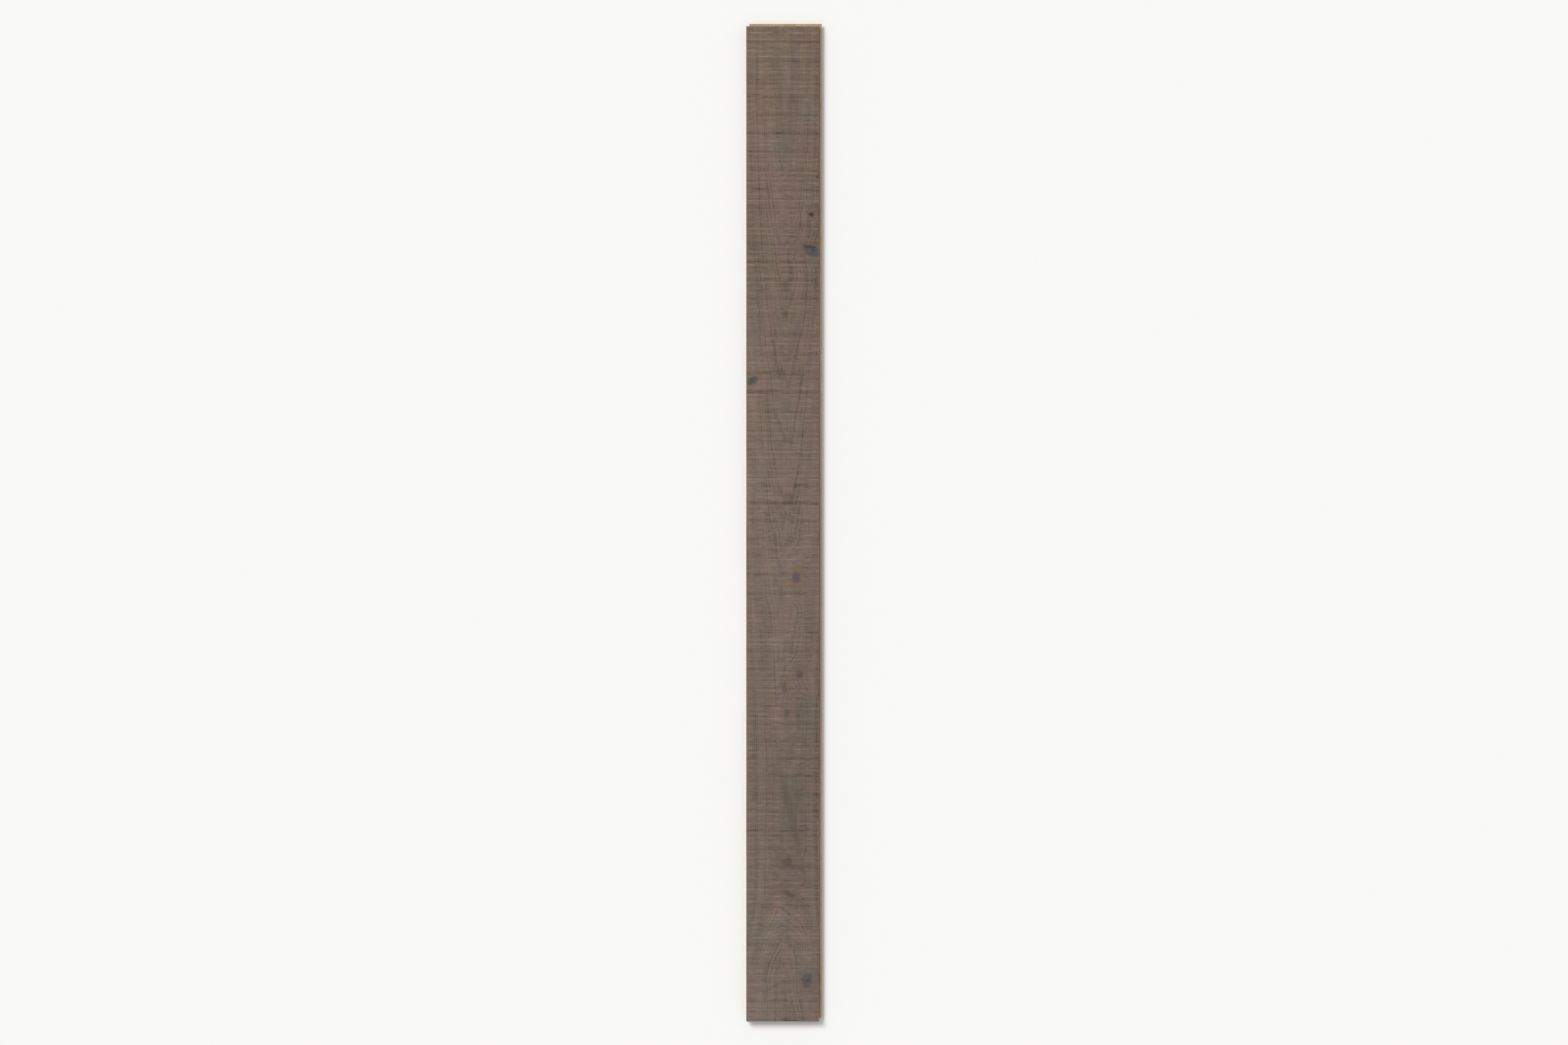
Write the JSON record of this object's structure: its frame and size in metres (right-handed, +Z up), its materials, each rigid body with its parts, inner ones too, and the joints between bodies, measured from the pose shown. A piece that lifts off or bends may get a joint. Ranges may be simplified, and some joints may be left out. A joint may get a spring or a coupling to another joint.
{
  "type": "hardwood floorboard",
  "caption": "Long flat oak floorboard with a grey-brown band-sawn face, a tongue along a side and an end and matching grooves opposite them, laid edge to edge as a floor covering.",
  "frame": {"origin": "middle of the underside, straight below the middle of the face", "axes": "+Y along the board towards its tongue end, +X across it towards its tongue side, +Z up out of the face"},
  "size_m": [0.168, 2.221, 0.02],
  "materials": {
    "oak": "band-sawn and stained face, planed raw underside and joints, matt"
  },
  "bodies": {
    "root": {"floorboard": "oak"}
  },
  "joints": []
}
